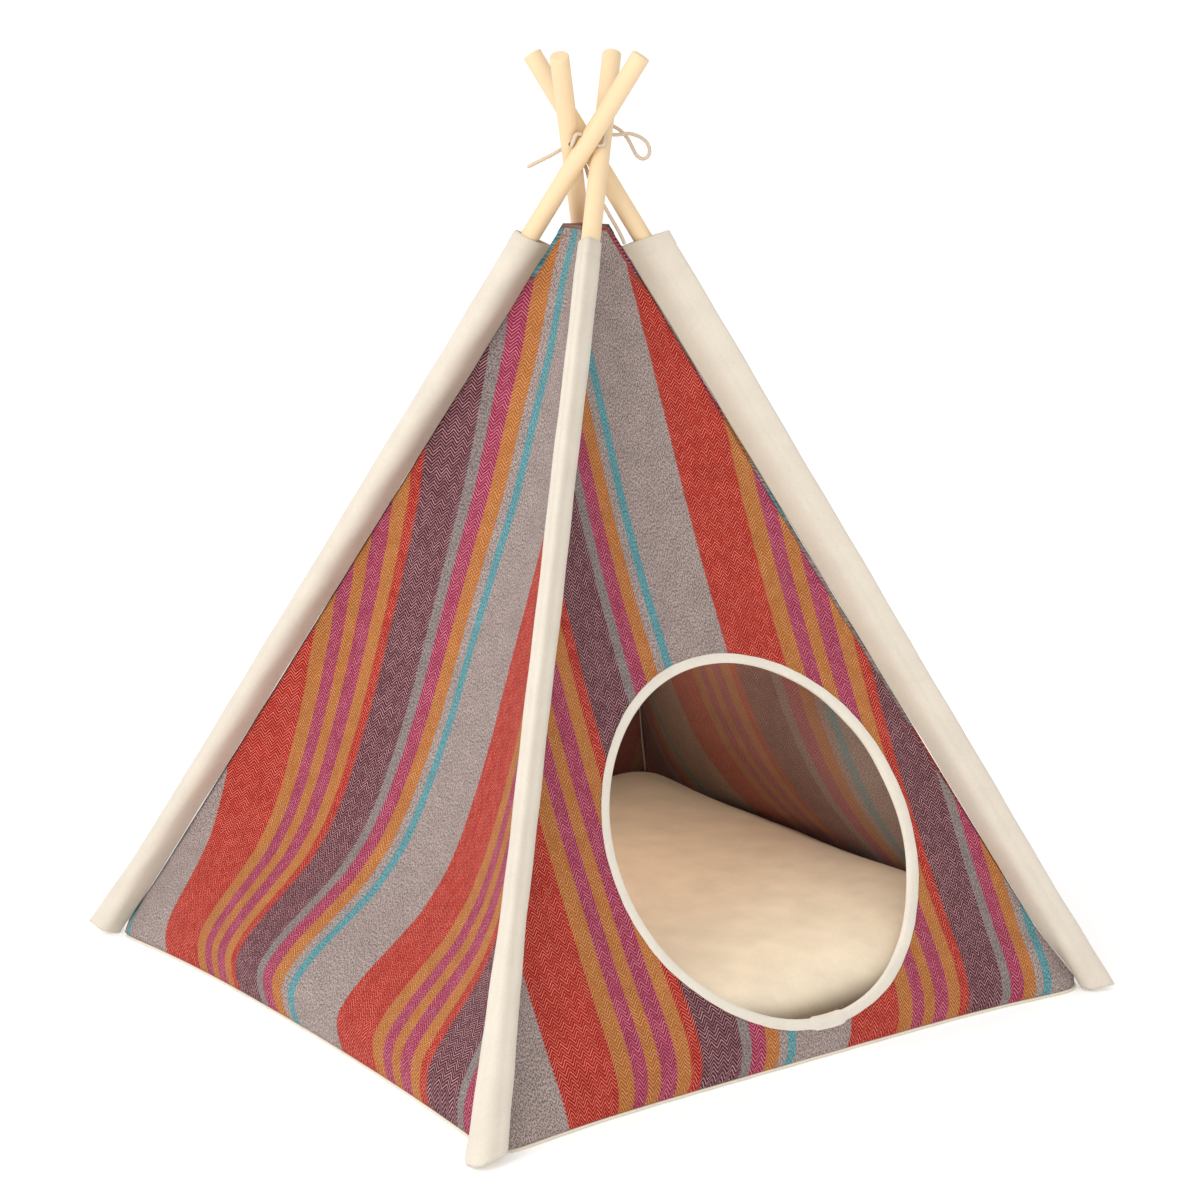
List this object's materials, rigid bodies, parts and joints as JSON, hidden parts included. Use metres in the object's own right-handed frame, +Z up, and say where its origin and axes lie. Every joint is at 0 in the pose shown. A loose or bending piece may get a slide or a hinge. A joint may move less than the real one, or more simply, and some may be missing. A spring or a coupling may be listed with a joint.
{
  "type": "cat tent with pole frame",
  "caption": "Pyramid cat tent: striped cloth cover with a round bound door, held by crossed wooden poles in corner sleeves, with a floor cushion.",
  "frame": {"origin": "middle of the base cloth, on the floor under the point between the poles", "axes": "+Z up, -Y out of the door, +X to the right of a person looking at the door"},
  "size_m": [0.6532, 0.6531, 0.7845],
  "materials": {
    "pine": "satin",
    "striped_cloth": "matte",
    "canvas": "matte",
    "binding_tape": "matte",
    "cushion_cover": "matte",
    "cotton_cord": "matte"
  },
  "bodies": {
    "root": {"pole_front_left": "pine", "pole_front_right": "pine", "pole_back_right": "pine", "pole_back_left": "pine", "sleeve_front_left": "canvas", "sleeve_front_right": "canvas", "sleeve_back_right": "canvas", "sleeve_back_left": "canvas", "wall_front": "striped_cloth", "wall_left": "striped_cloth", "wall_right": "striped_cloth", "wall_back": "striped_cloth", "door_binding": "binding_tape", "base_cloth": "canvas", "floor_cushion": "cushion_cover", "tie_cord": "cotton_cord"}
  },
  "joints": []
}
